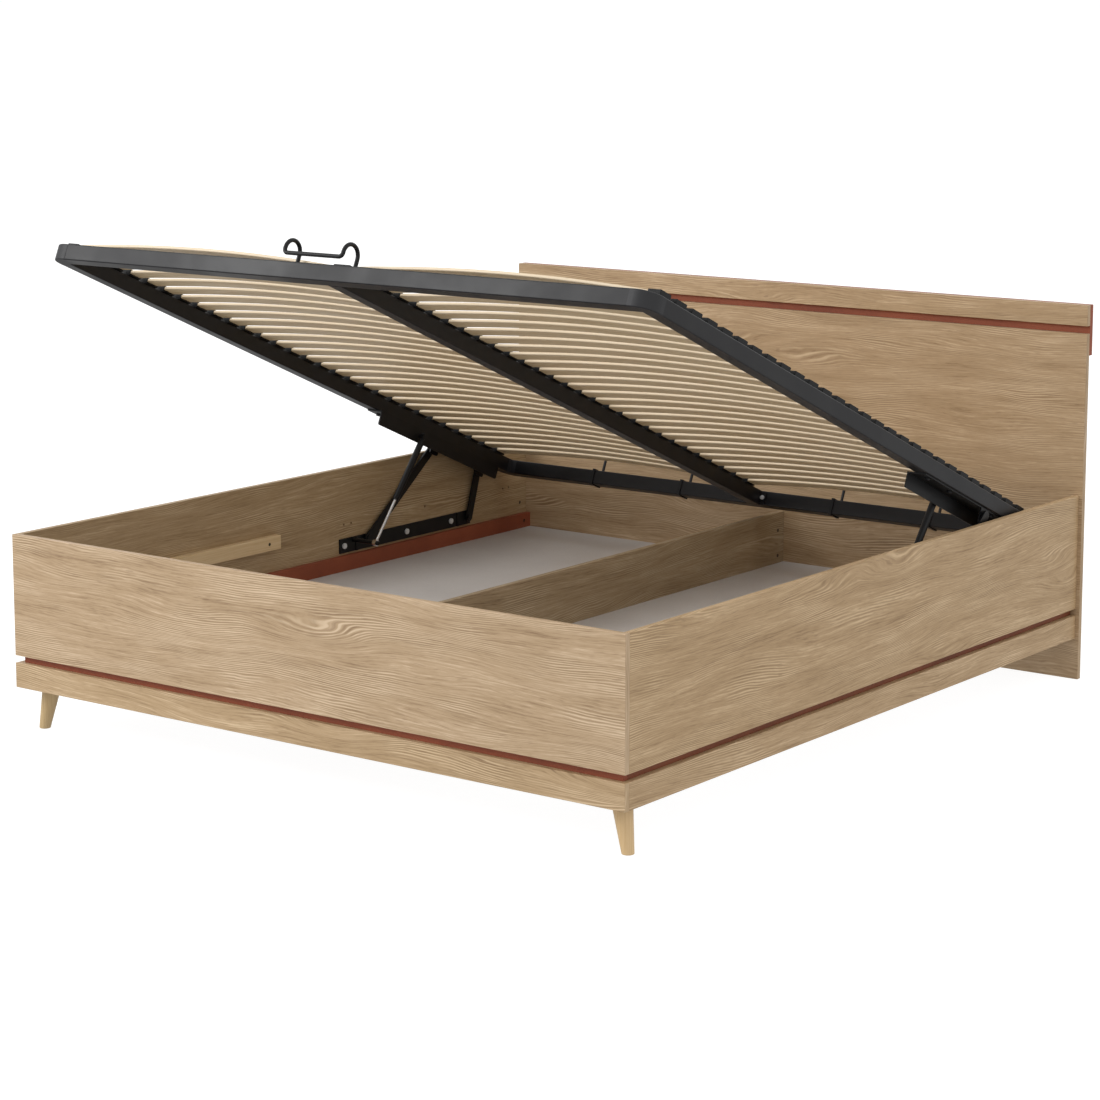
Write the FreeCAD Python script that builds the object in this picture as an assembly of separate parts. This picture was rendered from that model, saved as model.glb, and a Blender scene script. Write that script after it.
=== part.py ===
import FreeCAD, Part
import math
import os

Vector = FreeCAD.Vector

# A storage bed with its slatted frame raised. Millimetres; +X is the right side seen from the foot,
# +Y points from the footboard to the headboard, +Z is up and the floor is at zero.
# While the pieces are made, Y is counted from the footboard's front face. Left pieces mirror right ones.

# Sizes of the storage box
bed_width = 1840.0
box_length = 2050.0
board = 16.0
leg_height = 110.0
plinth_height = 62.0
groove_height = 18.0
panel_height = 303.0
batten_thickness = 16.0
batten_lift = 15.0
batten_gap = 6.0
board_edge = 1.0

# Sizes of the headboard
headboard_overhang = 10.0
headboard_panel_height = 920.0
headboard_groove = 20.0
top_strip_height = 55.0
back_board_height = 133.0

# Sizes of what lies inside the box
divider_thickness = 16.0
floor_thickness = 10.0
floor_clearance = 0.5
floor_cleat_size = 20.0
floor_cleat_lift = 53.0
rest_depth = 141.0
rest_cleat_width = 22.0
rest_cleat_height = 38.0
rest_cleat_length = 918.0
rest_cleat_edge = 2.0

# Sizes of the legs
leg_top_diameter = 48.0
leg_foot_diameter = 28.0
leg_foot_edge = 2.0
leg_setback = 36.0
leg_splay_out = 22.0
leg_splay_forward = 8.0
leg_block_width = 88.0
leg_block_height = 48.0
leg_block_lift = 2.0
leg_stud_diameter = 10.0
leg_stud_length = 30.0
centre_leg_diameter = 40.0

# Sizes of connectors, screws and pilot holes in the boards
connector_diameter = 10.0
connector_depth = 12.0
connector_recess = 1.0
connector_inset = 30.0
cleat_screw_head_diameter = 9.0
cleat_screw_head_depth = 3.0
cleat_screw_diameter = 4.5
cleat_screw_grip = 10.0
cleat_screw_shares = (0.05, 0.5, 0.95)
pilot_diameter = 7.0
pilot_depth = 10.0
pilot_drop = 17.0
pilot_shares = (0.594, 0.609, 0.767, 0.945, 0.958)

# Sizes of the lift's fixed half
plate_thickness = 4.0
plate_margin_below = 22.0
plate_margin_above = 8.0
plate_ahead = 114.0
plate_behind = 15.0
rib_width = 6.0
rib_height = 3.0
rib_ahead = 45.0
plate_bolt_diameter = 8.0
plate_bolt_head_diameter = 16.0
plate_bolt_head_height = 4.0
plate_bolt_grip = 12.0
plate_bolt_shares = (-0.213, 0.388, 0.832)

# Places of the lift's pivots, and its pose as photographed
rear_pivot_setback = 290.0
rear_pivot_drop = 74.0
front_pivot_spacing = 451.0
front_pivot_drop = 67.0
gas_pivot_ahead = 57.0
gas_pivot_drop = 64.0
rear_arm_length = 142.5
rear_arm_angle = 72.8
tilt_angle = 23.3
head_overhang = 140.0
pivot_below_tube = 20.0
front_joint_spacing = 226.5
gas_joint_spacing = 366.0

# Sizes of the lift's arms and pins
arm_thickness = 5.0
arm_width = 26.0
layer_gap = 1.0
pin_diameter = 10.0
pin_collar_diameter = 16.0
pin_head_height = 3.0
pin_play = 0.2
pin_clearance = 0.05
butt_gap = 0.3
rivet_diameter = 14.0
rivet_height = 3.0

# Sizes of the gas springs
gas_stand_off = 14.0
gas_body_diameter = 18.0
gas_body_length = 190.0
gas_neck_length = 16.0
gas_neck_diameter = 10.0
gas_wall = 1.45
gas_seal = 6.0
gas_cavity_length = 130.0
gas_rod_diameter = 8.0
gas_rod_inside = 60.0
gas_piston_length = 10.0
gas_eye_diameter = 18.0
gas_eye_width = 12.0
gas_pin_diameter = 8.0
gas_pin_collar_diameter = 12.0

# Sizes of the slatted frame's tubes
frame_play = 65.0
frame_side_gap = 12.0
tube_size = 40.0
tube_wall = 1.5
tube_edge = 3.0
elbow_radius = 45.0
elbow_straight = 12.0
elbow_proud = 0.6
plug_length = 40.0
plug_clearance = 0.2
tab_width = 17.0
tab_height = 30.0
tab_thickness = 4.0
tab_bolt_diameter = 6.0
tab_bolt_head_diameter = 12.0
tab_bolt_head_height = 4.0
tab_bolt_grip = 10.0

# Sizes of the lift brackets under the tubes
bracket_thickness = 4.0
bracket_width = 53.0
bracket_ahead = 552.0
bracket_behind = 18.0
bracket_edge = 20.0
bracket_corner = 5.0
ear_width = 36.0
bracket_bolt_diameter = 8.0
bracket_bolt_head_diameter = 13.0
bracket_bolt_head_height = 5.0
bracket_bolt_grip = 4.0
bracket_bolt_shares = (0.06, 0.27, 0.68, 0.86)

# Sizes of the slats and their holders
slat_count = 29
slat_width = 38.0
slat_thickness = 8.0
slat_edge = 1.2
slat_bow = 18.0
slat_seat = 2.0
slat_first = 46.0
slat_last_gap = 92.0
slat_end_inset = 12.0
slat_middle_gap = 12.0
pocket_clearance = 0.3
holder_wall = 1.7
holder_roof = 1.5
holder_overhang = 4.0
holder_edge = 1.2

# Sizes of the lifting handle and the head stops
handle_wire = 10.0
handle_span = 174.0
handle_offset = -35.0
handle_setback = 32.0
handle_rise = 25.0
handle_bend = 26.0
handle_drop = 1.0
handle_corner = 10.0
stop_wire = 8.0
stop_inner = 250.0
stop_outer = 555.0
stop_below = 30.0
stop_above = 70.0
stop_corner = 22.0
ring_width = 8.0
ring_thickness = 3.0

# Every cut runs past its face by this much
overrun = 1.0

# Edges whose directions differ by less than this sine count as parallel
angle_tolerance = 0.001

# Places that follow from the sizes
half_width = bed_width / 2
rail_inner = half_width - board
batten_inner = rail_inner - batten_thickness
half_divider = divider_thickness / 2
total_length = box_length + 2 * board
plinth_top = leg_height + plinth_height
panel_bottom = plinth_top + groove_height
panel_top = panel_bottom + panel_height
rest_height = panel_top - rest_depth
pivot_drops = (rear_pivot_drop, front_pivot_drop, gas_pivot_drop)
plate_bottom = rest_height - max(pivot_drops) - plate_margin_below
plate_top = rest_height - min(pivot_drops) + plate_margin_above
plate_middle = (plate_bottom + plate_top) / 2
batten_bottom = leg_height + batten_lift
batten_top = plate_bottom - batten_gap
batten_start = board + batten_thickness
floor_cleat_bottom = batten_bottom + floor_cleat_lift
floor_bottom = floor_cleat_bottom + floor_cleat_size
rest_cleat_bottom = rest_height - rest_cleat_height
rest_cleat_inner = rail_inner - rest_cleat_width
block_bottom = leg_height + leg_block_lift

# Layers of the lift, from the rail's inner face towards the middle of the bed
plate_face = rail_inner - plate_thickness
arm_outer = plate_face - plate_bolt_head_height - layer_gap
arm_inner = arm_outer - arm_thickness
ear_outer = arm_inner - pin_head_height - layer_gap
ear_inner = ear_outer - bracket_thickness
web_inner = ear_outer - bracket_width
web_outer = web_inner + bracket_thickness
gas_middle = web_inner - gas_stand_off

# Pivots of the lift in the pose as photographed
rear_pivot = Vector(0, box_length - rear_pivot_setback, rest_height - rear_pivot_drop)
front_pivot = Vector(0, rear_pivot.y - front_pivot_spacing, rest_height - front_pivot_drop)
gas_pivot = Vector(0, front_pivot.y - gas_pivot_ahead, rest_height - gas_pivot_drop)
arm_turn = math.radians(rear_arm_angle)
arm_reach = Vector(0, math.cos(arm_turn), math.sin(arm_turn)) * rear_arm_length
frame_pivot = rear_pivot + arm_reach
tilt = math.radians(tilt_angle)
along_frame = Vector(0, math.cos(tilt), -math.sin(tilt))
front_joint = frame_pivot - along_frame * front_joint_spacing
gas_joint = frame_pivot - along_frame * gas_joint_spacing
plate_start = front_pivot.y - plate_ahead
plate_end = rear_pivot.y + plate_behind
plate_bolt_places = [front_pivot.y + share * front_pivot_spacing for share in plate_bolt_shares]

# The slatted frame is made lying flat: Y from its foot end, Z from the top of its tubes
frame_length = box_length - frame_play
frame_half = rail_inner - frame_side_gap
tube_inner = frame_half - tube_size
tube_middle = frame_half - tube_size / 2
head_face = frame_length - tube_size
elbow_reach = elbow_radius + elbow_straight
pivot_along = frame_length - head_overhang
pivot_depth = -(tube_size + pivot_below_tube)
bracket_start = pivot_along - bracket_ahead
bracket_end = pivot_along + bracket_behind
bracket_length = bracket_end - bracket_start
bracket_bolt_places = [bracket_start + share * bracket_length for share in bracket_bolt_shares]
slat_pitch = (frame_length - slat_first - slat_width - slat_last_gap) / (slat_count - 1)
slat_places = [slat_first + number * slat_pitch for number in range(slat_count)]
slat_inner = slat_middle_gap / 2
slat_outer = frame_half - slat_end_inset
tab_middle = tube_size / 2 + tab_width / 2


def block(low, high):
    size = Vector(*high) - Vector(*low)
    return Part.makeBox(size.x, size.y, size.z, Vector(*low))


def rounded(solid, radius, runs):
    """Rounds the straight edges that run along the named axes, such as "XY"."""
    axes = {"X": Vector(1, 0, 0), "Y": Vector(0, 1, 0), "Z": Vector(0, 0, 1)}
    edges = []
    for edge in solid.Edges:
        heading = edge.tangentAt(edge.FirstParameter)
        if any(heading.cross(axes[run]).Length < angle_tolerance for run in runs):
            edges.append(edge)
    return solid.makeFillet(radius, edges)


def panel(low, high):
    """A decor board with softly rounded edges."""
    return rounded(block(low, high), board_edge, "XYZ")


def across(start, end, place, height, diameter):
    """A round bar parallel to X."""
    return Part.makeCylinder(diameter / 2, end - start, Vector(start, place, height), Vector(1, 0, 0))


def along(start, end, diameter):
    """A round bar between two points."""
    path = end - start
    return Part.makeCylinder(diameter / 2, path.Length, start, path)


def joined(*solids):
    return solids[0].fuse(list(solids[1:])).removeSplitter()


def mirrored(shape):
    return shape.mirror(Vector(0, 0, 0), Vector(1, 0, 0))


def group(solids):
    return Part.makeCompound(list(solids))


def both_sides(solids):
    return group(list(solids) + [mirrored(solid) for solid in solids])


def repeated(shape, places):
    return group(shape.translated(Vector(0, place, 0)) for place in places)


def square_tube(low, high, run):
    """A hollow tube that runs along X (run 0) or Y (run 1)."""
    inner_low = [value + tube_wall for value in low]
    inner_high = [value - tube_wall for value in high]
    inner_low[run] = low[run] - overrun
    inner_high[run] = high[run] + overrun
    axis = "XY"[run]
    outside = rounded(block(low, high), tube_edge, axis)
    return outside.cut(rounded(block(inner_low, inner_high), tube_edge - tube_wall, axis))


def link_bar(start, end):
    """A flat lift arm with round ends, with its middle line from start to end."""
    offset = Vector(arm_outer - arm_thickness, 0, 0)
    start = start + offset
    end = end + offset
    forward = (end - start).normalize() * (arm_width / 2)
    side = Vector(0, -forward.z, forward.y)
    outline = Part.Wire([
        Part.makeLine(start + side, end + side),
        Part.Arc(end + side, end + forward, end - side).toShape(),
        Part.makeLine(end - side, start - side),
        Part.Arc(start - side, start - forward, start + side).toShape(),
    ])
    return Part.Face(outline).extrude(Vector(arm_thickness, 0, 0))


def pin_hole(pivot, diameter):
    """A cut through an arm for a pin that turns in it."""
    return across(arm_inner - overrun, arm_outer + overrun, pivot.y, pivot.z, diameter + 2 * pin_clearance)


def bent_wire(edges, diameter):
    path = Part.Wire(edges)
    first = edges[0]
    start = first.valueAt(first.FirstParameter)
    heading = first.tangentAt(first.FirstParameter)
    section = Part.Wire(Part.makeCircle(diameter / 2, start, heading))
    return path.makePipeShell([section], True, False)


def quarter_turn(start, corner, end):
    """A quarter circle from start to end, which lie equally far from the sharp corner."""
    centre = start + end - corner
    radius = (corner - start).Length
    middle = centre + (corner - centre).normalize() * radius
    return Part.Arc(start, middle, end).toShape()


parts = {}
frame_parts = {}


def add_pair(store, name, right):
    store[name + "_right"] = right
    store[name + "_left"] = mirrored(right)


# Fasteners in the boards, made first because the boards are cut by them
pilot_height = rest_height - pilot_drop
pilot_holes = [
    across(rail_inner - overrun, rail_inner + pilot_depth, share * box_length, pilot_height, pilot_diameter)
    for share in pilot_shares
]

plate_bolts = []
for place in plate_bolt_places:
    head_start = plate_face - plate_bolt_head_height
    head = across(head_start, plate_face, place, plate_middle, plate_bolt_head_diameter)
    shank = across(plate_face, rail_inner + plate_bolt_grip, place, plate_middle, plate_bolt_diameter)
    plate_bolts.append(joined(head, shank))

cleat_screw_height = (rest_cleat_bottom + rest_height) / 2
cleat_screws = []
for share in cleat_screw_shares:
    place = board + share * rest_cleat_length
    neck = rest_cleat_inner + cleat_screw_head_depth
    head = across(rest_cleat_inner, neck, place, cleat_screw_height, cleat_screw_head_diameter)
    shank = across(neck, rail_inner + cleat_screw_grip, place, cleat_screw_height, cleat_screw_diameter)
    cleat_screws.append(joined(head, shank))


def connector(face, end, place, height):
    """The hole for a round connector, and the connector set a little back in it."""
    hole = across(face, end, place, height, connector_diameter)
    insert = across(face + connector_recess, end, place, height, connector_diameter)
    return hole, insert


connector_places = (board + connector_inset, box_length - connector_inset)
batten_connector_places = (batten_start + connector_inset, box_length - connector_inset)
connector_height = (batten_top + rest_cleat_bottom) / 2
batten_connector_height = (floor_bottom + floor_thickness + batten_top) / 2
divider_connector_heights = (batten_connector_height, (batten_top + rest_height) / 2)
rail_connectors = [
    connector(rail_inner, rail_inner + connector_depth, place, connector_height)
    for place in connector_places
]
batten_connectors = [
    connector(batten_inner, batten_inner + connector_depth, place, batten_connector_height)
    for place in batten_connector_places
]
divider_connectors = [
    connector(-half_divider, half_divider, place, height)
    for place in batten_connector_places
    for height in divider_connector_heights
]


# Footboard and side rails: a plinth below, a panel above, and a batten behind the groove between them
parts["footboard_plinth"] = panel((-half_width, 0, leg_height), (half_width, board, plinth_top))
parts["footboard_panel"] = panel((-half_width, 0, panel_bottom), (half_width, board, panel_top))
parts["footboard_batten"] = panel((-rail_inner, board, batten_bottom), (rail_inner, batten_start, batten_top))

add_pair(parts, "rail_plinth", panel((rail_inner, board, leg_height), (half_width, box_length, plinth_top)))
rail_panel = panel((rail_inner, board, panel_bottom), (half_width, box_length, panel_top))
rail_holes = [hole for hole, insert in rail_connectors]
rail_panel = rail_panel.cut(pilot_holes + plate_bolts + cleat_screws + rail_holes)
add_pair(parts, "rail_panel", rail_panel)
rail_batten = panel((batten_inner, batten_start, batten_bottom), (rail_inner, box_length, batten_top))
rail_batten = rail_batten.cut([hole for hole, insert in batten_connectors])
add_pair(parts, "rail_batten", rail_batten)

# Headboard: a panel on the floor, a strip above a groove, and a board behind them
half_headboard = half_width + headboard_overhang
headboard_back = box_length + board
strip_bottom = headboard_panel_height + headboard_groove
headboard_top = strip_bottom + top_strip_height
parts["headboard_panel"] = panel(
    (-half_headboard, box_length, 0), (half_headboard, headboard_back, headboard_panel_height))
parts["headboard_top_strip"] = panel(
    (-half_headboard, box_length, strip_bottom), (half_headboard, headboard_back, headboard_top))
parts["headboard_back_board"] = panel(
    (-half_headboard, headboard_back, headboard_top - back_board_height),
    (half_headboard, total_length, headboard_top))

# Centre divider, which reaches over the footboard's batten
divider = joined(
    block((-half_divider, batten_start, batten_bottom), (half_divider, box_length, rest_height)),
    block((-half_divider, board, batten_top), (half_divider, batten_start, rest_height)))
divider_holes = [hole for hole, insert in divider_connectors]
parts["centre_divider"] = rounded(divider, board_edge, "YZ").cut(divider_holes)

# Floor panels, the cleats that carry them, and the cleats that the closed frame rests on
storage_floor = block(
    (half_divider + floor_clearance, batten_start + floor_clearance, floor_bottom),
    (batten_inner - floor_clearance, box_length - floor_clearance, floor_bottom + floor_thickness))
add_pair(parts, "storage_floor", storage_floor)
rail_floor_cleat = block(
    (batten_inner - floor_cleat_size, batten_start, floor_cleat_bottom),
    (batten_inner, box_length, floor_bottom))
add_pair(parts, "rail_floor_cleat", rail_floor_cleat)
divider_floor_cleat = block(
    (half_divider, batten_start, floor_cleat_bottom),
    (half_divider + floor_cleat_size, box_length, floor_bottom))
parts["divider_floor_cleats"] = both_sides([divider_floor_cleat])
rest_cleat = rounded(
    block((rest_cleat_inner, board, rest_cleat_bottom), (rail_inner, board + rest_cleat_length, rest_height)),
    rest_cleat_edge, "YZ")
add_pair(parts, "frame_rest_cleat", rest_cleat.cut(cleat_screws))
parts["rest_cleat_screws"] = both_sides(cleat_screws)

board_connectors = [insert for hole, insert in rail_connectors + batten_connectors]
middle_connectors = [insert for hole, insert in divider_connectors]
parts["board_connectors"] = group(both_sides(board_connectors).Solids + middle_connectors)

# Legs, splayed and tapered, screwed into blocks in the front corners
leg_top = Vector(batten_inner - leg_top_diameter / 2, batten_start + leg_setback, block_bottom)
leg_foot = Vector(leg_top.x + leg_splay_out, leg_top.y - leg_splay_forward, 0)
leg_rings = [
    Part.Wire(Part.makeCircle(leg_foot_diameter / 2, leg_foot)),
    Part.Wire(Part.makeCircle(leg_top_diameter / 2, leg_top)),
]
leg_taper = Part.makeLoft(leg_rings, True, True)
foot_rim = min(leg_taper.Edges, key=lambda edge: edge.BoundBox.ZMax)
leg_stud = along(leg_top, leg_top + Vector(0, 0, leg_stud_length), leg_stud_diameter)
add_pair(parts, "leg", joined(leg_taper.makeFillet(leg_foot_edge, [foot_rim]), leg_stud))
leg_block = block(
    (batten_inner - leg_block_width, batten_start, block_bottom),
    (batten_inner, batten_start + leg_block_width, block_bottom + leg_block_height))
add_pair(parts, "leg_block", leg_block.cut(leg_stud))
parts["centre_leg"] = along(
    Vector(0, box_length / 2, 0), Vector(0, box_length / 2, batten_bottom), centre_leg_diameter)

# The lift's fixed half: a plate on the rail, its bolts, and the pins that the arms turn on
plate_pin_cuts = [
    across(plate_face - overrun, rail_inner + overrun, rear_pivot.y, rear_pivot.z, pin_diameter),
    across(plate_face - overrun, rail_inner + overrun, front_pivot.y, front_pivot.z, pin_diameter),
    across(plate_face - overrun, rail_inner + overrun, gas_pivot.y, gas_pivot.z, gas_pin_diameter),
]
plate_pieces = [block((plate_face, plate_start, plate_bottom), (rail_inner, plate_end, plate_top))]
for pivot in (front_pivot, rear_pivot):
    rib_start = pivot.y - rib_ahead - rib_width / 2
    plate_pieces.append(block(
        (plate_face - rib_height, rib_start, plate_bottom), (plate_face, rib_start + rib_width, plate_top)))
lift_plate = joined(*plate_pieces).cut(plate_pin_cuts + plate_bolts)
add_pair(parts, "lift_base_plate", lift_plate)
parts["base_plate_bolts"] = both_sides(plate_bolts)


def arm_pin(pivot):
    """A pin fixed in the plate, with a collar behind the arm and a head in front of it."""
    head_start = arm_inner - pin_play
    shank = across(head_start, rail_inner, pivot.y, pivot.z, pin_diameter)
    collar = across(arm_outer + pin_play, plate_face, pivot.y, pivot.z, pin_collar_diameter)
    head = across(head_start - pin_head_height, head_start, pivot.y, pivot.z, pin_collar_diameter)
    return joined(shank, collar, head)


def gas_pin():
    """The long pin fixed in the plate that the gas spring's lower eye turns on."""
    eye_outer = gas_middle + gas_eye_width / 2 + pin_play
    eye_inner = gas_middle - gas_eye_width / 2 - pin_play
    shank = across(eye_inner, rail_inner, gas_pivot.y, gas_pivot.z, gas_pin_diameter)
    collar = across(eye_outer, plate_face, gas_pivot.y, gas_pivot.z, gas_pin_collar_diameter)
    head = across(eye_inner - pin_head_height, eye_inner, gas_pivot.y, gas_pivot.z, gas_pin_collar_diameter)
    return joined(shank, collar, head)


parts["lower_pivot_pins"] = both_sides([arm_pin(rear_pivot), arm_pin(front_pivot), gas_pin()])

# The arms; the front arm's upper boss stops just short of the bracket's ear
rear_arm = link_bar(rear_pivot, frame_pivot).cut(
    [pin_hole(rear_pivot, pin_diameter), pin_hole(frame_pivot, pin_diameter)])
add_pair(parts, "rear_arm", rear_arm)
front_boss = across(ear_outer + butt_gap, arm_inner, front_joint.y, front_joint.z, pin_collar_diameter)
front_arm = joined(link_bar(front_pivot, front_joint), front_boss).cut(pin_hole(front_pivot, pin_diameter))
add_pair(parts, "front_arm", front_arm)

# Gas springs; the cylinder hangs from the frame and its stud stops just short of the bracket's web
gas_top = gas_joint + Vector(gas_middle, 0, 0)
gas_foot = gas_pivot + Vector(gas_middle, 0, 0)
gas_length = (gas_foot - gas_top).Length
gas_line = (gas_foot - gas_top).normalize()


def gas_bar(start, end, diameter):
    """A round bar on the gas spring's line, between two distances from its upper eye."""
    return along(gas_top + gas_line * start, gas_top + gas_line * end, diameter)


gas_body_end = gas_neck_length + gas_body_length
gas_bore = gas_body_diameter - 2 * gas_wall
gas_seal_start = gas_body_end - gas_seal
gas_piston_start = gas_body_end - gas_rod_inside
eye_reach = gas_eye_width / 2
gas_cylinder = joined(
    gas_bar(gas_neck_length, gas_body_end, gas_body_diameter),
    gas_bar(0, gas_neck_length, gas_neck_diameter),
    across(gas_middle - eye_reach, gas_middle + eye_reach, gas_top.y, gas_top.z, gas_eye_diameter),
    across(gas_middle, web_inner - butt_gap, gas_top.y, gas_top.z, gas_neck_diameter))
gas_cylinder = gas_cylinder.cut([
    gas_bar(gas_seal_start - gas_cavity_length, gas_seal_start, gas_bore),
    gas_bar(gas_seal_start - overrun, gas_body_end + overrun, gas_rod_diameter + 2 * pin_clearance),
])
add_pair(parts, "gas_cylinder", gas_cylinder)
gas_rod = joined(
    gas_bar(gas_piston_start, gas_length, gas_rod_diameter),
    gas_bar(gas_piston_start, gas_piston_start + gas_piston_length, gas_bore - 2 * pin_clearance),
    across(gas_middle - eye_reach, gas_middle + eye_reach, gas_foot.y, gas_foot.z, gas_eye_diameter))
gas_rod_hole = across(
    gas_middle - eye_reach - overrun, gas_middle + eye_reach + overrun,
    gas_foot.y, gas_foot.z, gas_pin_diameter + 2 * pin_clearance)
add_pair(parts, "gas_rod", gas_rod.cut(gas_rod_hole))

# Bolts of the slatted frame, which cut the tubes that they hold
flange_bottom = -tube_size - bracket_thickness
bracket_bolts = []
for place in bracket_bolt_places:
    seat = Vector(tube_middle, place, flange_bottom)
    head = along(seat - Vector(0, 0, bracket_bolt_head_height), seat, bracket_bolt_head_diameter)
    shank_top = seat + Vector(0, 0, bracket_thickness + bracket_bolt_grip)
    bracket_bolts.append(joined(head, along(seat, shank_top, bracket_bolt_diameter)))


def tab_bolt(seat, heading):
    """A bolt through a tab of the centre bar, with its head at seat and its shank along heading."""
    start = Vector(tab_middle, seat, -tube_size / 2)
    head = along(start - heading * tab_bolt_head_height, start, tab_bolt_head_diameter)
    shank = along(start, start + heading * (tab_thickness + tab_bolt_grip), tab_bolt_diameter)
    return joined(head, shank)


foot_tab_bolt = tab_bolt(tube_size + tab_thickness, Vector(0, -1, 0))
head_tab_bolt = tab_bolt(head_face - tab_thickness, Vector(0, 1, 0))
frame_parts["bracket_bolts"] = both_sides(bracket_bolts)
frame_parts["centre_bar_bolts"] = group([foot_tab_bolt, head_tab_bolt])

# Tubes of the slatted frame
side_tube = square_tube(
    (tube_inner, elbow_reach, -tube_size), (frame_half, frame_length - elbow_reach, 0), 1)
add_pair(frame_parts, "side_tube", side_tube.cut(bracket_bolts))
end_tube_half = frame_half - elbow_reach
foot_tube = square_tube((-end_tube_half, 0, -tube_size), (end_tube_half, tube_size, 0), 0)
head_tube = square_tube((-end_tube_half, head_face, -tube_size), (end_tube_half, frame_length, 0), 0)
frame_parts["foot_tube"] = foot_tube.cut(foot_tab_bolt)
frame_parts["head_tube"] = head_tube.cut(head_tab_bolt)


def tab(start):
    """A tab on the right of the centre bar, through which it is bolted to an end tube."""
    low = (tube_size / 2, start, -(tube_size + tab_height) / 2)
    high = (tube_size / 2 + tab_width, start + tab_thickness, -(tube_size - tab_height) / 2)
    return block(low, high)


centre_tube = square_tube((-tube_size / 2, tube_size, -tube_size), (tube_size / 2, head_face, 0), 1)
centre_bar = joined(centre_tube, tab(tube_size), tab(head_face - tab_thickness))
frame_parts["centre_bar"] = centre_bar.cut([foot_tab_bolt, head_tab_bolt])


def elbow():
    """The foot's right corner: round outside, flush above and below, with plugs pushed into both tubes."""
    outside = frame_half + elbow_proud
    inside = tube_inner - elbow_proud
    front = -elbow_proud
    back = tube_size + elbow_proud
    bottom = -tube_size
    end = frame_half - elbow_reach
    round_start = Vector(frame_half - elbow_radius, front, bottom)
    round_end = Vector(outside, elbow_radius, bottom)
    centre = Vector(frame_half - elbow_radius, elbow_radius, bottom)
    diagonal = Vector(1, -1, 0).normalize() * (elbow_radius + elbow_proud)
    corners = [
        round_end,
        Vector(outside, elbow_reach, bottom),
        Vector(inside, elbow_reach, bottom),
        Vector(inside, back, bottom),
        Vector(end, back, bottom),
        Vector(end, front, bottom),
        round_start,
    ]
    def at_tube(edge):
        return edge.BoundBox.YMin >= elbow_reach - overrun or edge.BoundBox.XMax <= end + overrun

    edges = [Part.Arc(round_start, centre + diagonal, round_end).toShape()]
    edges += [Part.makeLine(corners[i], corners[i + 1]) for i in range(len(corners) - 1)]
    body = Part.Face(Part.Wire(edges)).extrude(Vector(0, 0, tube_size))
    rims = [edge for edge in body.Edges if edge.BoundBox.ZLength < overrun and not at_tube(edge)]
    body = body.makeFillet(tube_edge, rims)
    margin = tube_wall + plug_clearance
    side_plug = block(
        (tube_inner + margin, elbow_reach, -tube_size + margin),
        (frame_half - margin, elbow_reach + plug_length, -margin))
    end_plug = block(
        (end - plug_length, margin, -tube_size + margin), (end, tube_size - margin, -margin))
    inner_edge = tube_edge - tube_wall
    return joined(body, rounded(side_plug, inner_edge, "Y"), rounded(end_plug, inner_edge, "X"))


foot_elbow = elbow()
head_elbow = foot_elbow.mirror(Vector(0, frame_length / 2, 0), Vector(0, 1, 0))
frame_parts["corner_elbows"] = both_sides([foot_elbow, head_elbow])


def slat_face(margin):
    """The bowed outline of a right-hand slat, grown by a margin."""
    low = slat_seat - margin
    high = slat_seat + slat_thickness + margin
    inner = slat_inner - margin
    outer = slat_outer + margin
    middle = (inner + outer) / 2
    lower = Part.Arc(Vector(inner, 0, low), Vector(middle, 0, low + slat_bow), Vector(outer, 0, low))
    upper = Part.Arc(Vector(outer, 0, high), Vector(middle, 0, high + slat_bow), Vector(inner, 0, high))
    return Part.Face(Part.Wire([
        lower.toShape(),
        Part.makeLine(Vector(outer, 0, low), Vector(outer, 0, high)),
        upper.toShape(),
        Part.makeLine(Vector(inner, 0, high), Vector(inner, 0, low)),
    ]))


# Slats, and the caps that hold their ends on the side tubes and the centre bar
slat = slat_face(0).extrude(Vector(0, slat_width, 0))
slat_rims = [edge for edge in slat.Edges if edge.Curve.TypeId == "Part::GeomCircle"]
slat = slat.makeChamfer(slat_edge, slat_rims)
pocket = slat_face(pocket_clearance).extrude(Vector(0, slat_width + 2 * pocket_clearance, 0))
pocket.translate(Vector(0, -pocket_clearance, 0))
mouth_share = (tube_size - slat_end_inset + holder_overhang) / (slat_outer - slat_inner)
mouth_rise = 4 * slat_bow * mouth_share * (1 - mouth_share)
holder_height = slat_seat + slat_thickness + mouth_rise + pocket_clearance + holder_roof
holder_start = -pocket_clearance - holder_wall
holder_end = slat_width + pocket_clearance + holder_wall
holder_outer = slat_outer + pocket_clearance + holder_wall
side_holder = rounded(
    block((tube_inner - holder_overhang, holder_start, 0), (holder_outer, holder_end, holder_height)),
    holder_edge, "Z")
centre_half = tube_size / 2 + holder_overhang
centre_holder = rounded(
    block((-centre_half, holder_start, 0), (centre_half, holder_end, holder_height)), holder_edge, "Z")
add_pair(frame_parts, "slats", repeated(slat, slat_places))
add_pair(frame_parts, "slat_holders", repeated(side_holder.cut(pocket), slat_places))
frame_parts["slat_holders_centre"] = repeated(centre_holder.cut([pocket, mirrored(pocket)]), slat_places)


def bracket_wall(low, high):
    """A wall that hangs from the bracket's flange, with its lower corners rounded."""
    wall = block(low, high)
    lower_edges = [edge for edge in wall.Edges if edge.BoundBox.ZMax < pivot_depth]
    corners = [edge for edge in lower_edges if edge.BoundBox.XLength > edge.BoundBox.YLength]
    return wall.makeFillet(bracket_corner, corners)


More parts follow.
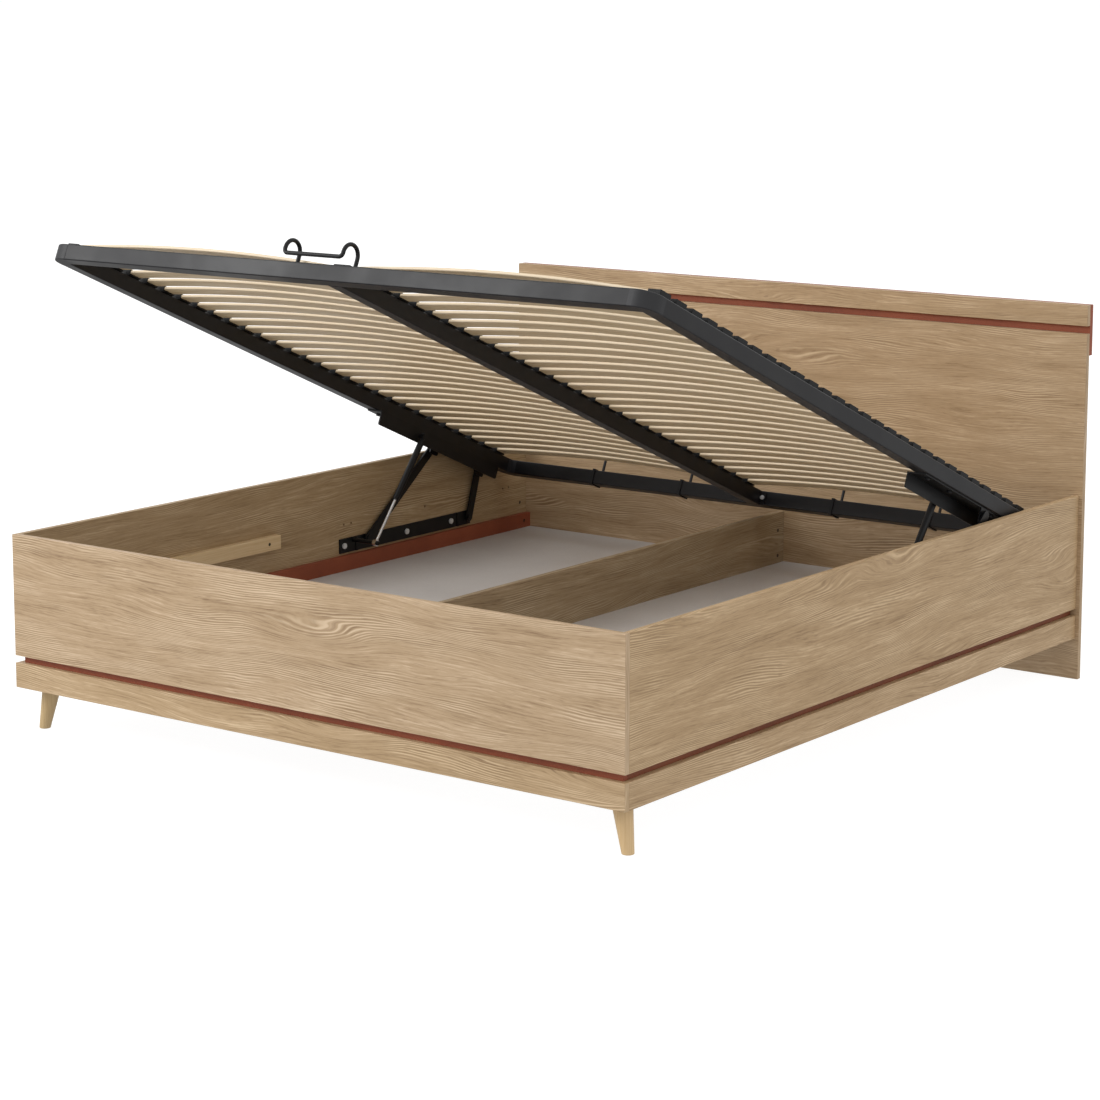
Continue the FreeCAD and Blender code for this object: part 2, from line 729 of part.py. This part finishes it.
# Lift brackets: a flange under each side tube, a long web on its inner side, and outer ears for the arms
web_bottom = pivot_depth - bracket_edge
front_rivet_along = pivot_along - front_joint_spacing
bracket_pieces = [
    block((web_inner, bracket_start, flange_bottom), (ear_outer, bracket_end, -tube_size)),
    bracket_wall((web_inner, bracket_start, web_bottom), (web_outer, bracket_end, flange_bottom)),
    across(ear_inner - rivet_height, ear_inner, front_rivet_along, pivot_depth, rivet_diameter),
]
for place in (pivot_along, front_rivet_along):
    bracket_pieces.append(bracket_wall(
        (ear_inner, place - ear_width / 2, web_bottom), (ear_outer, place + ear_width / 2, flange_bottom)))
frame_pin_hole = across(ear_inner - overrun, ear_outer + overrun, pivot_along, pivot_depth, pin_diameter)
lift_bracket = joined(*bracket_pieces).cut([frame_pin_hole] + bracket_bolts)
add_pair(frame_parts, "lift_bracket", lift_bracket)
frame_pin_end = arm_outer + pin_play
frame_pin = joined(
    across(ear_inner, frame_pin_end, pivot_along, pivot_depth, pin_diameter),
    across(ear_outer, arm_inner - pin_play, pivot_along, pivot_depth, pin_collar_diameter),
    across(frame_pin_end, frame_pin_end + pin_head_height, pivot_along, pivot_depth, pin_collar_diameter),
    across(ear_inner - rivet_height, ear_inner, pivot_along, pivot_depth, rivet_diameter))
frame_parts["frame_pivot_pins"] = both_sides([frame_pin])


def lift_handle():
    """A wire bow on the foot tube: two legs that loop forward and down to a bar in front of the tube."""
    left = handle_offset - handle_span / 2
    right = handle_offset + handle_span / 2
    front = handle_setback - 2 * handle_bend
    bar_height = handle_rise - handle_drop - handle_corner
    corner_top = bar_height + handle_corner

    def hump(side):
        foot = Vector(side, handle_setback, 0)
        rise = Vector(side, handle_setback, handle_rise)
        top = Vector(side, handle_setback - handle_bend, handle_rise + handle_bend)
        fall = Vector(side, front, handle_rise)
        return foot, rise, top, fall, Vector(side, front, corner_top)

    foot, rise, top, fall, drop = hump(left)
    far_foot, far_rise, far_top, far_fall, far_drop = hump(right)
    bar_start = Vector(left + handle_corner, front, bar_height)
    bar_end = Vector(right - handle_corner, front, bar_height)
    return bent_wire([
        Part.makeLine(foot, rise),
        Part.Arc(rise, top, fall).toShape(),
        Part.makeLine(fall, drop),
        quarter_turn(drop, Vector(left, front, bar_height), bar_start),
        Part.makeLine(bar_start, bar_end),
        quarter_turn(bar_end, Vector(right, front, bar_height), far_drop),
        Part.makeLine(far_drop, far_fall),
        Part.Arc(far_fall, far_top, far_rise).toShape(),
        Part.makeLine(far_rise, far_foot),
    ], handle_wire)


def head_stop():
    """A wire bow behind the head tube that keeps a mattress from sliding, clamped by two rings."""
    back = frame_length + stop_wire / 2

    def point(across_bed, height):
        return Vector(across_bed, back, height)

    bow = bent_wire([
        Part.makeLine(point(stop_inner, -stop_below), point(stop_inner, stop_above - stop_corner)),
        quarter_turn(
            point(stop_inner, stop_above - stop_corner), point(stop_inner, stop_above),
            point(stop_inner + stop_corner, stop_above)),
        Part.makeLine(
            point(stop_inner + stop_corner, stop_above), point(stop_outer - stop_corner, stop_above)),
        quarter_turn(
            point(stop_outer - stop_corner, stop_above), point(stop_outer, stop_above),
            point(stop_outer, stop_above - stop_corner)),
        Part.makeLine(point(stop_outer, stop_above - stop_corner), point(stop_outer, -stop_below)),
    ], stop_wire)
    rings = []
    for middle in (stop_inner, stop_outer):
        low = middle - ring_width / 2
        high = middle + ring_width / 2
        band = block(
            (low, head_face - ring_thickness, -tube_size - ring_thickness),
            (high, frame_length + ring_thickness, ring_thickness))
        rings.append(band.cut(block(
            (low - overrun, head_face, -tube_size), (high + overrun, frame_length, 0))))
    return joined(bow, *rings)


frame_parts["lift_handle"] = lift_handle()
add_pair(frame_parts, "head_stop", head_stop())

# The slatted frame turns up about its pivot
raised = FreeCAD.Placement(frame_pivot, FreeCAD.Rotation(Vector(1, 0, 0), -tilt_angle))
flat = FreeCAD.Placement(Vector(0, -pivot_along, -pivot_depth), FreeCAD.Rotation())
for name, shape in frame_parts.items():
    parts[name] = shape.transformed((raised * flat).toMatrix(), True)

# The origin is on the floor, in the middle of the bed's length and width
os.makedirs("parts", exist_ok=True)
for name, shape in parts.items():
    shape.translate(Vector(0, -total_length / 2, 0))
    shape.exportStep("parts/" + name + ".step")
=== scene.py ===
import math

import bpy
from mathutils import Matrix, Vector


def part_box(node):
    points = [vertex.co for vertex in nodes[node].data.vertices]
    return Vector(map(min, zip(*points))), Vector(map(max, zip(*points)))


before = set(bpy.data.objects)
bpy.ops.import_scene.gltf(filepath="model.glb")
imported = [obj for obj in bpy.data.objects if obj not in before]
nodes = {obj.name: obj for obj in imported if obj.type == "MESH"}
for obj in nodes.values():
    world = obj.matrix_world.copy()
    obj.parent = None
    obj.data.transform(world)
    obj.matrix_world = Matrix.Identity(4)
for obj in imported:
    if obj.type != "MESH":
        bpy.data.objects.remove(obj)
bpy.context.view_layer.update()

scene = bpy.context.scene

# The raised slatted frame: a point on the front edge of its top plane, and its tilt
frame_corner_y = -0.90966
frame_corner_z = 1.19902
frame_tilt = math.radians(23.3)

# The slats: their height above that plane, their bow, and the plies that show on their long edges
slat_seat = 0.002
slat_bow = 0.018
ply_thickness = 0.0016
ply_limits = (0.2, 0.3)
ply_share = 0.4
edge_limits = (0.6, 0.8)
edge_share = 0.85
# Painted shade along the bottom of the slats' long edges, standing in for the shadow on a rounded edge: its
# height limits above the underside and its share
painted_edge_shade_limits = (0.001, 0.0032)
painted_edge_shade_share = 0.75

# Noise stays mostly between these limits
noise_limits = (0.3, 0.7)

# Wood: shares of the noises that shade it, limits that pick out its features, and its relief
end_facing = 0.7
streak_share = 0.5
band_share = 0.3
fibre_share = 0.2
waver_turns = 9.0
patch_limits = (0.42, 0.66)
bright_rings = (0.1, 1.0)
dull_rings = (-0.2, -1.0)
pore_limits = (0.62, 0.74)
rough_rise = 0.06
rough_fall = 0.05
streak_relief = 0.6
wood_depth = 0.0004

# Relief depths and clouds of the other surfaces
skin_depth = 0.0004
speck_depth = 0.0003
brush_depth = 0.0002
cloud_share = 0.6
skin_share = 0.4
rust_cloud_share = 0.65
rust_speck_share = 0.35


def even(count):
    """The same scale along all three axes."""
    return (count, count, count)


def tint(red, green, blue):
    """A colour as it looks on screen, 0 to 255, as the linear values that shaders take."""
    shares = []
    for level in (red, green, blue):
        share = level / 255
        shares.append(share / 12.92 if share <= 0.04045 else ((share + 0.055) / 1.055) ** 2.4)
    return (*shares, 1.0)


def toned(stops, tone):
    """The same stops with each colour multiplied by a tone."""
    return [(place, (*(level * share for level, share in zip(colour, tone)), 1.0)) for place, colour in stops]


class Surface:
    """One procedural material, made node by node."""

    def __init__(self, name):
        self.material = bpy.data.materials.new(name)
        self.material.use_nodes = True
        self.tree = self.material.node_tree
        self.tree.nodes.clear()
        self.shader = self.node("ShaderNodeBsdfPrincipled")
        output = self.node("ShaderNodeOutputMaterial")
        self.feed(output.inputs["Surface"], self.shader.outputs["BSDF"])
        self.coordinates = self.node("ShaderNodeTexCoord")

    def node(self, kind, **settings):
        made = self.tree.nodes.new(kind)
        for name, value in settings.items():
            setattr(made, name, value)
        return made

    def feed(self, socket, value):
        """Links an output to the socket, or sets a plain value on it."""
        if isinstance(value, bpy.types.NodeSocket):
            self.tree.links.new(value, socket)
        else:
            socket.default_value = value

    def paint(self, name, value):
        self.feed(self.shader.inputs[name], value)

    def number(self, operation, first, second=0.0, third=0.0):
        made = self.node("ShaderNodeMath", operation=operation)
        for socket, value in zip(made.inputs, (first, second, third)):
            self.feed(socket, value)
        return made.outputs[0]

    def sum_of(self, first, first_share, second, second_share):
        """Two values added by their shares."""
        part = self.number("MULTIPLY", first, first_share)
        return self.number("MULTIPLY_ADD", second, second_share, part)

    def split(self, vector):
        made = self.node("ShaderNodeSeparateXYZ")
        self.feed(made.inputs[0], vector)
        return made.outputs

    def vector(self, x, y, z):
        made = self.node("ShaderNodeCombineXYZ")
        for socket, value in zip(made.inputs, (x, y, z)):
            self.feed(socket, value)
        return made.outputs[0]

    def stretched(self, vector, scales):
        made = self.node("ShaderNodeVectorMath", operation="MULTIPLY")
        self.feed(made.inputs[0], vector)
        self.feed(made.inputs[1], scales)
        return made.outputs[0]

    def noise(self, vector, scales, detail=2.0, roughness=0.5):
        made = self.node("ShaderNodeTexNoise")
        self.feed(made.inputs["Vector"], self.stretched(vector, scales))
        self.feed(made.inputs["Scale"], 1.0)
        self.feed(made.inputs["Detail"], detail)
        self.feed(made.inputs["Roughness"], roughness)
        return made.outputs[0]

    def spots(self, vector, scales):
        """Distance to the nearest of scattered points."""
        made = self.node("ShaderNodeTexVoronoi")
        self.feed(made.inputs["Vector"], self.stretched(vector, scales))
        self.feed(made.inputs["Scale"], 1.0)
        return made.outputs["Distance"]

    def spread(self, value, low, high, new_low, new_high):
        """A value that runs smoothly from new_low to new_high between two limits."""
        made = self.node("ShaderNodeMapRange", interpolation_type="SMOOTHSTEP")
        for socket, given in zip(made.inputs, (value, low, high, new_low, new_high)):
            self.feed(socket, given)
        return made.outputs[0]

    def ramp(self, value, stops):
        made = self.node("ShaderNodeValToRGB")
        points = made.color_ramp.elements
        while len(points) < len(stops):
            points.new(0.5)
        for point, (place, colour) in zip(points, stops):
            point.position = place
            point.color = colour
        self.feed(made.inputs[0], value)
        return made.outputs[0]

    def blend(self, share, first, second):
        """Two colours mixed by a share."""
        made = self.node("ShaderNodeMix", data_type="RGBA")
        for socket, value in zip((made.inputs[0], made.inputs[6], made.inputs[7]), (share, first, second)):
            self.feed(socket, value)
        return made.outputs[2]

    def choose(self, share, first, second):
        """Two numbers mixed by a share."""
        made = self.node("ShaderNodeMix", data_type="FLOAT")
        for socket, value in zip((made.inputs[0], made.inputs[2], made.inputs[3]), (share, first, second)):
            self.feed(socket, value)
        return made.outputs[0]

    def relief(self, height, strength, depth):
        made = self.node("ShaderNodeBump")
        self.feed(made.inputs["Strength"], strength)
        self.feed(made.inputs["Distance"], depth)
        self.feed(made.inputs["Height"], height)
        self.paint("Normal", made.outputs[0])


def board_lines(surface, along, offset):
    """Places on a board: along its grain, across it, and a number of its own. Its ends are turned."""
    place = surface.split(surface.coordinates.outputs["Object"])
    side = surface.split(surface.coordinates.outputs["Normal"])
    end_along = "X" if along == "Z" else "Z"
    end_across = next(axis for axis in "XYZ" if axis not in (along, end_along))
    ends = surface.number("GREATER_THAN", surface.number("ABSOLUTE", side[along]), end_facing)
    across = surface.number("ADD", place[end_along], place[end_across])
    length = surface.choose(ends, place[along], place[end_along])
    width = surface.choose(ends, across, place[end_across])
    return surface.vector(length, width, offset), length, width


def wood(name, along, offset, stops, look):
    """Wood whose growth lines bend round eyes, with streaks, fibres and pores, and rings in patches."""
    surface = Surface(name)
    darkest = stops[0][1]
    lightest = stops[-1][1]
    lines, length, width = board_lines(surface, along, offset)

    # The lines that the grain follows
    slow = surface.noise(lines, look["slow"], detail=1.0)
    quick = surface.noise(lines, look["quick"])
    eyes = surface.spots(lines, look["eyes"])
    bulge = surface.spread(eyes, 0.0, look["eye_size"], look["eye_push"], 0.0)
    field = surface.number("MULTIPLY_ADD", slow, look["slow_push"], width)
    field = surface.number("MULTIPLY_ADD", quick, look["quick_push"], field)
    field = surface.number("ADD", field, bulge)
    grain = surface.vector(length, field, offset)

    # Streaks, bands and fibres
    streaks = surface.noise(grain, look["streaks"], detail=4.0, roughness=0.62)
    bands = surface.noise(grain, look["bands"])
    fibres = surface.noise(grain, look["fibres"], roughness=0.6)
    shade = surface.sum_of(streaks, streak_share, bands, band_share)
    shade = surface.number("MULTIPLY_ADD", fibres, fibre_share, shade)
    colour = surface.ramp(shade, stops)

    # Rings in patches, pores and knots
    waver = surface.number("MULTIPLY", surface.noise(grain, look["waver"]), waver_turns)
    turns = surface.number("MULTIPLY_ADD", field, 2 * math.pi / look["ring_pitch"], waver)
    rings = surface.number("SINE", turns)
    patches = surface.spread(surface.noise(lines, look["patches"]), *patch_limits, 0.0, 1.0)
    bright = surface.spread(rings, *bright_rings, 0.0, look["ring_light"])
    colour = surface.blend(surface.number("MULTIPLY", bright, patches), colour, lightest)
    dull = surface.spread(rings, *dull_rings, 0.0, look["ring_dark"])
    dull = surface.number("MULTIPLY", dull, patches)
    pores = surface.noise(grain, look["pores"], detail=1.0)
    pits = surface.spread(pores, *pore_limits, 0.0, look["pore_shade"])
    knots = surface.spread(eyes, 0.0, look["knot_size"], look["knot_shade"], 0.0)
    dark = surface.number("MAXIMUM", surface.number("MAXIMUM", pits, dull), knots)
    surface.paint("Base Color", surface.blend(dark, colour, darkest))

    # Gloss and relief
    rough = look["rough"]
    surface.paint("Roughness", surface.spread(shade, *noise_limits, rough + rough_rise, rough - rough_fall))
    height = surface.number("SUBTRACT", surface.number("MULTIPLY", streaks, streak_relief), pits)
    surface.relief(height, look["relief"], wood_depth)
    return surface


# Scales are counts per metre along and across the grain; pushes and sizes are in metres
oak_look = {
    "slow": (1.5, 6.0, 1.0), "slow_push": 0.1, "quick": (5.0, 20.0, 1.0), "quick_push": 0.012,
    "eyes": (1.7, 8.0, 1.0), "eye_size": 0.4, "eye_push": 0.026, "knot_size": 0.06, "knot_shade": 0.35,
    "streaks": (8.0, 300.0, 1.0), "bands": (2.4, 26.0, 1.0), "fibres": (36.0, 700.0, 1.0),
    "pores": (26.0, 520.0, 1.0), "pore_shade": 0.42, "rough": 0.52, "relief": 0.16,
    "waver": (6.0, 70.0, 1.0), "ring_pitch": 0.005, "ring_light": 0.65, "ring_dark": 0.4,
    "patches": (4.5, 15.0, 1.0),
}
solid_look = dict(
    oak_look, slow_push=0.05, quick_push=0.006, eye_push=0.006, knot_shade=0.25, pore_shade=0.15,
    streaks=(3.0, 260.0, 1.0), bands=(1.2, 30.0, 1.0), rough=0.48, relief=0.1, ring_light=0.3, ring_dark=0.15)
birch_look = dict(
    oak_look, slow_push=0.04, quick_push=0.004, eye_push=0.004, knot_shade=0.12, pore_shade=0.1,
    streaks=(3.5, 190.0, 1.0), bands=(1.4, 40.0, 1.0), rough=0.42, relief=0.08, ring_light=0.2, ring_dark=0.1)

oak_stops = [
    (0.32, tint(124, 96, 66)), (0.45, tint(169, 142, 107)),
    (0.54, tint(181, 154, 120)), (0.7, tint(220, 196, 162))]
leg_stops = [
    (0.32, tint(168, 138, 94)), (0.46, tint(188, 161, 117)),
    (0.56, tint(195, 169, 126)), (0.7, tint(204, 180, 139))]
solid_stops = [
    (0.32, tint(184, 154, 110)), (0.46, tint(207, 179, 136)),
    (0.56, tint(213, 187, 146)), (0.7, tint(220, 197, 159))]
birch_stops = [
    (0.32, tint(193, 166, 124)), (0.46, tint(214, 190, 151)),
    (0.56, tint(220, 198, 161)), (0.7, tint(229, 210, 177))]
rust_stops = [(0.34, tint(122, 58, 34)), (0.5, tint(140, 70, 42)), (0.66, tint(154, 80, 50))]
floor_stops = [(0.3, tint(180, 175, 172)), (0.5, tint(189, 185, 182)), (0.7, tint(197, 193, 190))]
chrome_stops = [(0.3, tint(206, 208, 211)), (0.7, tint(228, 229, 231))]
ply_edge = tint(234, 217, 188)
ply_line = tint(200, 170, 126)
# Painted shade colour for the bottom of the slats' long edges
painted_edge_shade_colour = tint(120, 96, 66)


def rust_board(name, tone):
    """A matt rust-red decor with soft clouds and a fine grain."""
    surface = Surface(name)
    place = surface.coordinates.outputs["Object"]
    clouds = surface.noise(place, (5.0, 5.0, 9.0), detail=4.0, roughness=0.6)
    specks = surface.noise(place, even(420.0), roughness=0.6)
    shade = surface.sum_of(clouds, rust_cloud_share, specks, rust_speck_share)
    surface.paint("Base Color", surface.ramp(shade, toned(rust_stops, tone)))
    surface.paint("Roughness", 0.62)
    surface.relief(specks, strength=0.12, depth=speck_depth)
    return surface


def floor_panel(name, tone):
    """Grey-white lacquered hardboard with faint clouds and pressed fibres."""
    surface = Surface(name)
    place = surface.coordinates.outputs["Object"]
    clouds = surface.noise(place, even(3.0), detail=3.0, roughness=0.6)
    fibres = surface.noise(place, (260.0, 140.0, 200.0), detail=3.0, roughness=0.65)
    shade = surface.sum_of(clouds, cloud_share, fibres, skin_share)
    surface.paint("Base Color", surface.ramp(shade, toned(floor_stops, tone)))
    surface.paint("Roughness", 0.55)
    surface.relief(fibres, strength=0.08, depth=speck_depth)
    return surface


def coated_steel(name, dark, light, grain, shine):
    """Powder coat: a fine orange-peel skin with a faint drift in tone."""
    surface = Surface(name)
    place = surface.coordinates.outputs["Object"]
    skin = surface.noise(place, even(grain))
    drift = surface.noise(place, even(6.0), detail=3.0, roughness=0.6)
    shade = surface.sum_of(drift, cloud_share, skin, skin_share)
    surface.paint("Base Color", surface.ramp(shade, [(0.35, dark), (0.65, light)]))
    surface.paint("Roughness", surface.spread(drift, *noise_limits, 0.38, 0.48))
    surface.paint("Specular IOR Level", shine)
    surface.relief(skin, strength=0.14, depth=skin_depth)
    return surface


def moulded_plastic(name, dark, light, shine):
    """Dark plastic with a fine eroded mould skin."""
    surface = Surface(name)
    place = surface.coordinates.outputs["Object"]
    skin = surface.noise(place, even(700.0), detail=3.0, roughness=0.6)
    drift = surface.noise(place, even(9.0))
    surface.paint("Base Color", surface.ramp(drift, [(0.3, dark), (0.7, light)]))
    surface.paint("Roughness", surface.spread(skin, *noise_limits, 0.46, 0.58))
    surface.paint("Specular IOR Level", shine)
    surface.relief(skin, strength=0.2, depth=speck_depth)
    return surface


def zinc_plate(name, dark, light, metallic):
    """Zinc on small fittings: cloudy, with a brushed streak."""
    surface = Surface(name)
    place = surface.coordinates.outputs["Object"]
    clouds = surface.noise(place, even(90.0), detail=3.0, roughness=0.6)
    brush = surface.noise(place, (1600.0, 220.0, 220.0))
    surface.paint("Base Color", surface.ramp(clouds, [(0.3, dark), (0.7, light)]))
    surface.paint("Metallic", metallic)
    surface.paint("Roughness", surface.spread(brush, *noise_limits, 0.26, 0.42))
    surface.relief(brush, strength=0.06, depth=brush_depth)
    return surface


def polished_rod(name):
    """Hard chrome with the fine marks of its stroke."""
    surface = Surface(name)
    place = surface.coordinates.outputs["Object"]
    marks = surface.noise(place, (900.0, 30.0, 30.0))
    surface.paint("Base Color", surface.ramp(marks, chrome_stops))
    surface.paint("Metallic", 1.0)
    surface.paint("Roughness", surface.spread(marks, *noise_limits, 0.07, 0.16))
    return surface


def slat_level(surface):
    """The height above a slat's underside, with the frame's tilt and the slat's bow taken off."""
    low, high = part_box("slats_right")
    middle = (low.x + high.x) / 2
    half = (high.x - low.x) / 2
    place = surface.split(surface.coordinates.outputs["Object"])
    from_middle = surface.number("SUBTRACT", surface.number("ABSOLUTE", place["X"]), middle)
    share = surface.number("POWER", surface.number("DIVIDE", from_middle, half), 2.0)
    rise = surface.number("MULTIPLY_ADD", share, -slat_bow, slat_bow)
    behind = surface.number("SUBTRACT", place["Y"], frame_corner_y)
    above = surface.number("SUBTRACT", place["Z"], frame_corner_z)
    level_y = surface.number("MULTIPLY", behind, math.sin(frame_tilt))
    level_z = surface.number("MULTIPLY", above, math.cos(frame_tilt))
    level = surface.number("SUBTRACT", surface.number("ADD", level_y, level_z), rise)
    return surface.number("SUBTRACT", level, slat_seat)


def bent_birch(name, offset):
    """Birch plywood slats: grain along the slat, and pale edges with ply lines, darkened along their bottom
    by painted shade that stands in for the shadow on a rounded edge.
    """
    surface = wood(name, "X", offset, birch_stops, birch_look)
    side = surface.split(surface.coordinates.outputs["Normal"])
    level = slat_level(surface)
    layer = surface.number("FRACT", surface.number("DIVIDE", level, 2 * ply_thickness))
    ply = surface.number("ABSOLUTE", surface.number("SUBTRACT", layer, 0.5))
    facing = surface.number("SUBTRACT", surface.number("MULTIPLY", side["Y"], math.cos(frame_tilt)),
                            surface.number("MULTIPLY", side["Z"], math.sin(frame_tilt)))
    edge = surface.spread(surface.number("ABSOLUTE", facing), *edge_limits, 0.0, 1.0)
    line = surface.number("MULTIPLY", surface.spread(ply, *ply_limits, 0.0, ply_share), edge)
    # Painted shade: each long edge darkens towards the underside, where a rounded edge would turn into shadow
    painted_edge_shade = surface.number("MULTIPLY", surface.spread(level, *painted_edge_shade_limits, painted_edge_shade_share, 0.0), edge)
    colour = surface.shader.inputs["Base Color"].links[0].from_socket
    colour = surface.blend(surface.number("MULTIPLY", edge, edge_share), colour, ply_edge)
    colour = surface.blend(line, colour, ply_line)
    surface.paint("Base Color", surface.blend(painted_edge_shade, colour, painted_edge_shade_colour))
    return surface


def dress(names, surface):
    for name in names:
        mesh = nodes[name].data
        mesh.materials.clear()
        mesh.materials.append(surface.material)


def named(*starts):
    return [name for name in sorted(nodes) if name.startswith(starts)]


# Oak boards, each with a part of the decor of its own: the axis that its grain follows, and its tone
oak_boards = {
    "footboard_panel": ("X", (1.06, 1.07, 1.12)), "footboard_plinth": ("X", (1.04, 1.03, 1.0)),
    "headboard_panel": ("X", (0.9, 0.88, 0.87)), "headboard_top_strip": ("X", (0.92, 0.9, 0.88)),
    "rail_panel_left": ("Y", (0.86, 0.86, 0.82)), "rail_panel_right": ("Y", (0.99, 0.95, 0.87)),
    "rail_plinth_left": ("Y", (0.86, 0.86, 0.82)), "rail_plinth_right": ("Y", (0.98, 0.94, 0.87)),
    "centre_divider": ("Y", (0.76, 0.79, 0.8)),
}
board_step = 3.7
# The tones are partly the decor's variation between boards and partly painted light: a paler, cooler
# footboard is painted sheen, darker headboard, left rail and divider are painted shade
for number, (board, (direction, tone)) in enumerate(oak_boards.items(), 1):
    dress([board], wood("oak_" + board, direction, board_step * number, toned(oak_stops, tone), oak_look))

# The other boards, the floor and the solid wood
plain_tone = (1.0, 1.0, 1.0)
# Painted shade: the right rail's batten is darker and browner, for the shadow in its groove
painted_shade_rust_tone = (0.72, 0.8, 0.66)
pale_floor_tone = (1.14, 1.14, 1.14)
pale_leg_tone = (1.22, 1.18, 1.18)
pale_leg_stops = toned(leg_stops, pale_leg_tone)
dress(named("headboard_back_board", "footboard_batten", "rail_batten_left"),
      rust_board("rust_decor", plain_tone))
# The right batten's rust decor carries painted shade for the shadow in its groove
dress(["rail_batten_right"], rust_board("rust_dark", painted_shade_rust_tone))
dress(["storage_floor_left"], floor_panel("floor_white", plain_tone))
dress(["storage_floor_right"], floor_panel("floor_pale", pale_floor_tone))
dress(["leg_left", "centre_leg"],
      wood("leg_wood", along="Z", offset=1.3, stops=leg_stops, look=solid_look))
dress(["leg_right"],
      wood("leg_wood_pale", along="Z", offset=1.9, stops=pale_leg_stops, look=solid_look))
dress(named("frame_rest_cleat", "rail_floor_cleat", "divider_floor_cleats"),
      wood("cleat_wood", along="Y", offset=5.1, stops=solid_stops, look=solid_look))
dress(named("leg_block"),
      wood("block_wood", along="X", offset=8.2, stops=leg_stops, look=solid_look))
dress(["slats_left"], bent_birch("birch_left", offset=2.4))
dress(["slats_right"], bent_birch("birch_right", offset=6.9))

# Steel, plastic and small fittings
anthracite = coated_steel("anthracite_steel", tint(13, 12, 14), tint(19, 18, 21), grain=520.0, shine=0.33)
black_steel = coated_steel("black_steel", tint(12, 12, 13), tint(18, 18, 20), grain=640.0, shine=0.28)
dress(named("side_tube", "foot_tube", "head_tube") + ["centre_bar"], anthracite)
dress(named("rear_arm", "front_arm", "lift_base_plate", "lift_bracket", "lift_handle", "head_stop",
            "gas_cylinder", "bracket_bolts", "lower_pivot_pins", "frame_pivot_pins"), black_steel)
dress(["corner_elbows"],
      moulded_plastic("corner_plastic", tint(22, 22, 24), tint(29, 29, 32), shine=0.45))
dress(named("slat_holders"),
      moulded_plastic("black_plastic", tint(9, 9, 10), tint(14, 14, 15), shine=0.25))
# The bolts' near-white colour with metallic at 0.4 is partly pale zinc and partly a painted glint, a diffuse
# brightness standing in for their reflection
dress(named("base_plate_bolts", "centre_bar_bolts"),
      zinc_plate("zinc_steel", tint(204, 206, 208), tint(232, 233, 234), metallic=0.4))
dress(named("board_connectors", "rest_cleat_screws"),
      zinc_plate("dark_zinc", tint(66, 60, 52), tint(92, 85, 76), metallic=1.0))
dress(named("gas_rod"), polished_rod("chrome_rod"))

# Stage: a plain pale floor
stage_size = 60.0
stage_stops = [(0.3, (0.24, 0.24, 0.24, 1.0)), (0.7, (0.26, 0.26, 0.26, 1.0))]
stage_glow = 0.9
corners = [(-stage_size, -stage_size, 0), (stage_size, -stage_size, 0),
           (stage_size, stage_size, 0), (-stage_size, stage_size, 0)]
stage_mesh = bpy.data.meshes.new("stage_floor")
stage_mesh.from_pydata(corners, [], [(0, 1, 2, 3)])
stage_floor = bpy.data.objects.new("stage_floor", stage_mesh)
scene.collection.objects.link(stage_floor)
stage_floor.visible_diffuse = False
stage_floor.visible_glossy = False
stage_paint = Surface("stage_paper")
paper = stage_paint.noise(stage_paint.coordinates.outputs["Object"], even(30.0))
stage_paint.paint("Base Color", stage_paint.ramp(paper, stage_stops))
stage_paint.paint("Roughness", 0.9)
stage_paint.paint("Emission Color", (1.0, 1.0, 1.0, 1.0))
stage_paint.paint("Emission Strength", stage_glow)
stage_mesh.materials.append(stage_paint.material)

# Light: a white room that is dimmer below the horizon, and a large soft light
sky_strength = 1.02
ground_strength = 0.6
horizon_low = -0.16
horizon_high = -0.06
world = bpy.data.worlds.new("white_room")
world.use_nodes = True
room = world.node_tree
compass = room.nodes.new("ShaderNodeTexCoord")
parts = room.nodes.new("ShaderNodeSeparateXYZ")
fade = room.nodes.new("ShaderNodeMapRange")
for socket, value in zip(fade.inputs[1:5], (horizon_low, horizon_high, ground_strength, sky_strength)):
    socket.default_value = value
room.links.new(compass.outputs["Generated"], parts.inputs[0])
room.links.new(parts.outputs["Z"], fade.inputs[0])
room.links.new(fade.outputs[0], room.nodes["Background"].inputs["Strength"])
room.nodes["Background"].inputs["Color"].default_value = (1.0, 1.0, 1.0, 1.0)
scene.world = world
scene.view_settings.view_transform = "Standard"

key_place = Vector((-3.2, -4.3, 3.3))
key_target = Vector((0.0, -0.8, 0.6))
key_lamp = bpy.data.lights.new("key_light", "AREA")
key_lamp.shape = "RECTANGLE"
key_lamp.size = 2.6
key_lamp.size_y = 2.0
key_lamp.energy = 130.0
key_light = bpy.data.objects.new("key_light", key_lamp)
key_light.location = key_place
key_light.rotation_euler = (key_target - key_place).to_track_quat("-Z", "Y").to_euler()
scene.collection.objects.link(key_light)

# Camera at the photograph's viewing angle
picture_width = 1100
focal_pixels = 2967.0
camera_turn = 0.6436
camera_pitch = 0.1577
camera = bpy.data.cameras.new("camera")
camera.sensor_width = 36.0
camera.lens = focal_pixels / picture_width * camera.sensor_width
camera.shift_y = -0.1
camera.clip_end = 200.0
viewer = bpy.data.objects.new("camera", camera)
viewer.location = (4.4069, -5.9509, 1.8589)
viewer.rotation_euler = (math.pi / 2 - camera_pitch, 0.0, camera_turn)
scene.collection.objects.link(viewer)
scene.camera = viewer
